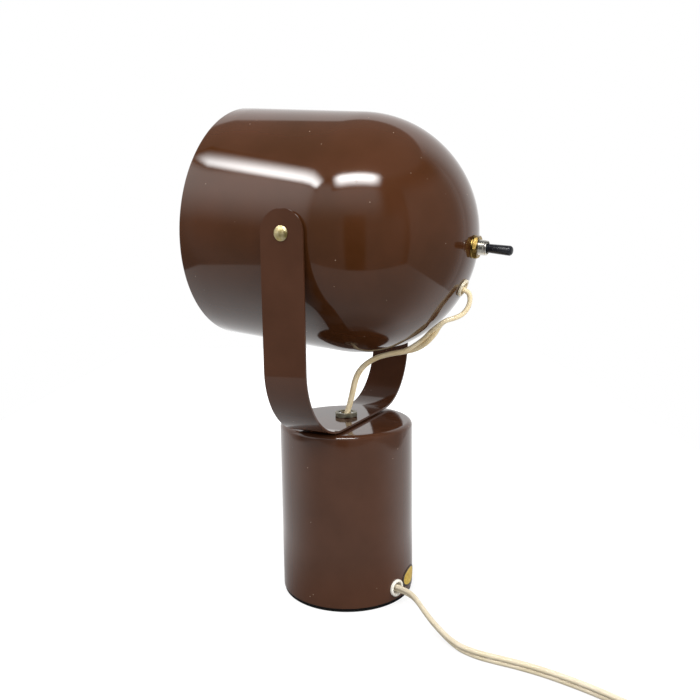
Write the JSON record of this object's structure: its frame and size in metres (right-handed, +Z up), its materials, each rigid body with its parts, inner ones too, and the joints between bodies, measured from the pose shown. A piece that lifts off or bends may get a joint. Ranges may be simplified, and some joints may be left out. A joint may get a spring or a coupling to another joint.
{
  "type": "table lamp",
  "caption": "Spot table lamp: enamelled shade with a domed back tilts in a U-shaped strip yoke that swivels on a weighted round base; toggle switch on the shade, flat twin lead with plug.",
  "frame": {"origin": "centre of the underside of the base, on the surface that the lamp stands on", "axes": "+Z up; the shade's mouth faces -Y; the switch and the mains lead are towards +Y; the shade tilts about X"},
  "size_m": [0.2548, 0.3306, 0.3236],
  "materials": {
    "brown_enamel": "gloss",
    "black_felt": "matte",
    "ivory_vinyl": "satin",
    "cream_vinyl": "satin",
    "gold_foil": "satin",
    "cast_iron": "rough",
    "zinc_steel": "satin",
    "nickel": "satin",
    "brass": "polished",
    "dark_brass": "aged",
    "fibre": "matte",
    "phenolic": "satin",
    "black_plastic": "gloss",
    "porcelain": "glazed",
    "frosted_glass": "frosted",
    "aluminium": "satin",
    "black_wire": "satin",
    "white_wire": "satin",
    "tie_plastic": "satin"
  },
  "bodies": {
    "base": {"base_shell": "brown_enamel", "base_pad": "black_felt", "bottom_plate": "zinc_steel", "ballast": "cast_iron", "ballast_locknut": "zinc_steel", "clamp_washer": "zinc_steel", "clamp_nut": "zinc_steel", "lamp_pipe": "nickel", "swivel_washer": "fibre", "base_grommet": "ivory_vinyl", "base_label": "gold_foil", "lead_inner": "cream_vinyl", "lead_stop": "zinc_steel", "mains_lead": "cream_vinyl", "lead_coil": "cream_vinyl", "coil_tie": "tie_plastic", "plug_body": "ivory_vinyl", "plug_blade_right": "brass", "plug_blade_left": "brass"},
    "yoke": {"yoke": "brown_enamel", "yoke_nut": "nickel", "pivot_screw_right": "brass", "pivot_screw_left": "brass", "pivot_spacer_right": "fibre", "pivot_spacer_left": "fibre", "jumper_flex": "cream_vinyl"},
    "shade": {"shade_shell": "brown_enamel", "shade_grommet": "ivory_vinyl", "pivot_washer_right": "zinc_steel", "pivot_washer_left": "zinc_steel", "pivot_nut_right": "zinc_steel", "pivot_nut_left": "zinc_steel", "switch_body": "phenolic", "switch_bushing": "nickel", "switch_washer": "dark_brass", "switch_nut": "brass", "socket_bracket": "zinc_steel", "socket_body": "porcelain", "socket_screw_shell": "brass", "socket_contact": "brass", "socket_screw_right": "zinc_steel", "socket_screw_left": "zinc_steel", "bulb_glass": "frosted_glass", "bulb_cap": "aluminium", "wire_live": "black_wire", "wire_neutral": "white_wire", "wire_switched": "black_wire"},
    "lever": {"switch_lever": "black_plastic"}
  },
  "joints": [
    {"name": "yoke_swivel", "type": "hinge", "parent": "base", "child": "yoke", "pos_m": [0, 0, 0.1173], "axis": [0, 0, 1], "range_deg": [-150, 150]},
    {"name": "head_tilt", "type": "hinge", "parent": "yoke", "child": "shade", "pos_m": [0, 0, 0.2406], "axis": [1, 0, 0], "range_deg": [-54, 36], "deforming": ["jumper_flex"]},
    {"name": "switch_toggle", "type": "hinge", "parent": "shade", "child": "lever", "pos_m": [0, 0.09268, 0.23079], "axis": [0, 0.1052, 0.9944], "range_deg": [0, 24]}
  ]
}
